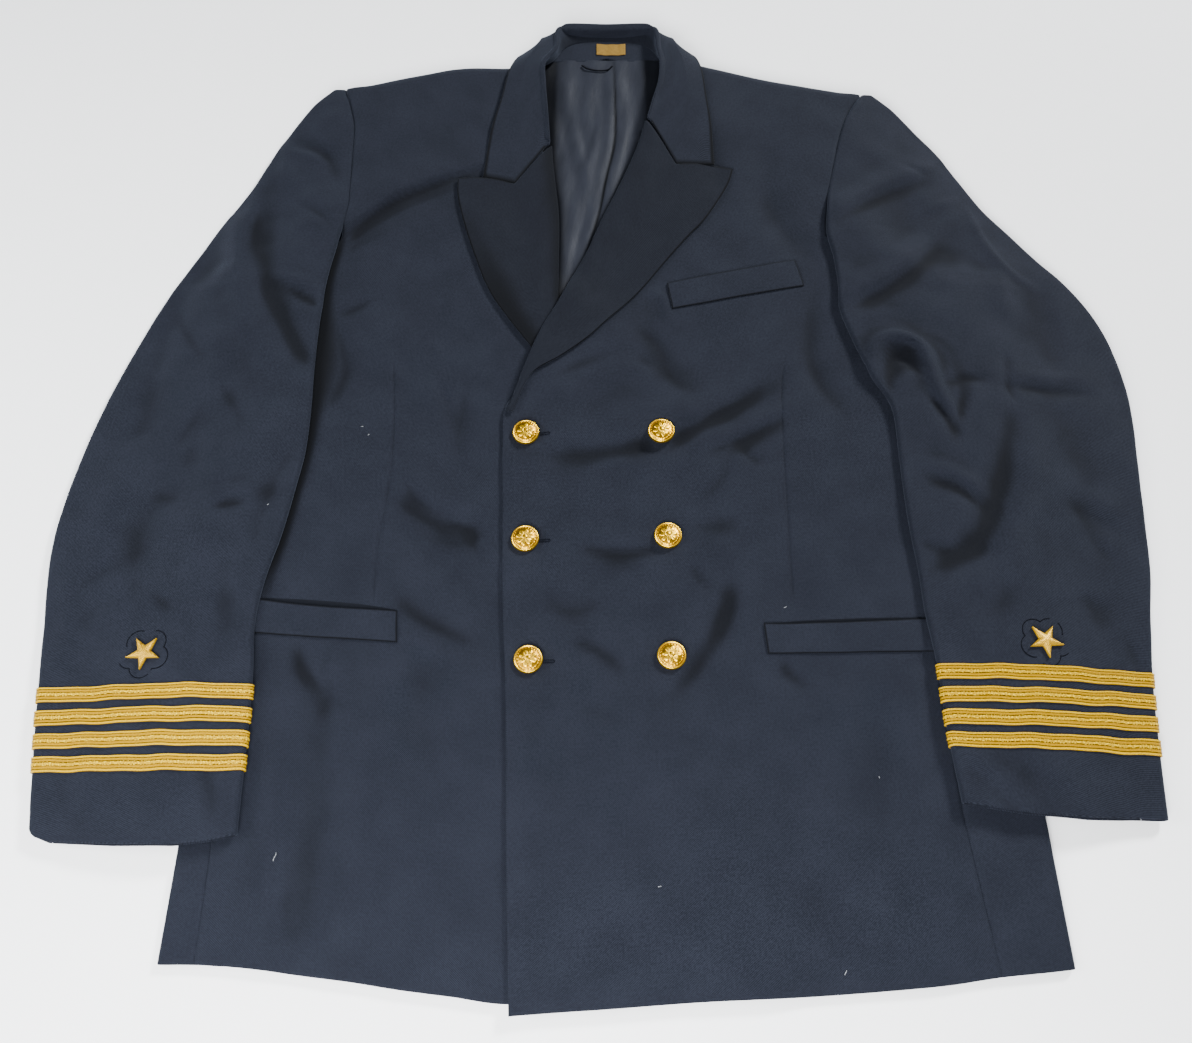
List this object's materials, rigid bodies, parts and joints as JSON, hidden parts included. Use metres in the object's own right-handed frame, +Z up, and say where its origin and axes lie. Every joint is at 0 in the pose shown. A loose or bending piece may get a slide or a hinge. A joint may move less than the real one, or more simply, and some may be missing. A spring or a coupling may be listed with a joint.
{
  "type": "naval uniform jacket",
  "caption": "Double-breasted navy dress jacket laid flat on its back, with peak lapels, an open neck, gilt domed buttons, and gold lace and a star on each sleeve.",
  "frame": {"origin": "on the surface it lies on, under the middle of its outline", "axes": "+Z up from the back to the front, +Y towards the collar, +X towards the wearer's left"},
  "size_m": [0.8835, 0.9115, 0.0236],
  "materials": {
    "navy_wool": "fine matt wool weave",
    "grey_satin": "soft satin sheen",
    "gold_lace": "ribbed metallic lace",
    "gilt_brass": "polished gilt with relief",
    "ochre_weave": "bare woven label"
  },
  "bodies": {
    "root": {"back_right": "navy_wool", "side_right": "navy_wool", "front_right": "navy_wool", "lapel_right": "navy_wool", "topsleeve_right": "navy_wool", "undersleeve_right": "navy_wool", "star_right": "gold_lace", "braid_right_1": "gold_lace", "braid_right_2": "gold_lace", "braid_right_3": "gold_lace", "braid_right_4": "gold_lace", "back_left": "navy_wool", "side_left": "navy_wool", "front_left": "navy_wool", "lapel_left": "navy_wool", "topsleeve_left": "navy_wool", "undersleeve_left": "navy_wool", "star_left": "gold_lace", "braid_left_1": "gold_lace", "braid_left_2": "gold_lace", "braid_left_3": "gold_lace", "braid_left_4": "gold_lace", "collar": "navy_wool", "neck_facing": "navy_wool", "breast_welt": "navy_wool", "hip_welt_left": "navy_wool", "hip_welt_right": "navy_wool", "back_lining": "grey_satin", "neck_label": "ochre_weave", "button_1": "gilt_brass", "button_2": "gilt_brass", "button_3": "gilt_brass", "button_4": "gilt_brass", "button_5": "gilt_brass", "button_6": "gilt_brass"}
  },
  "joints": []
}
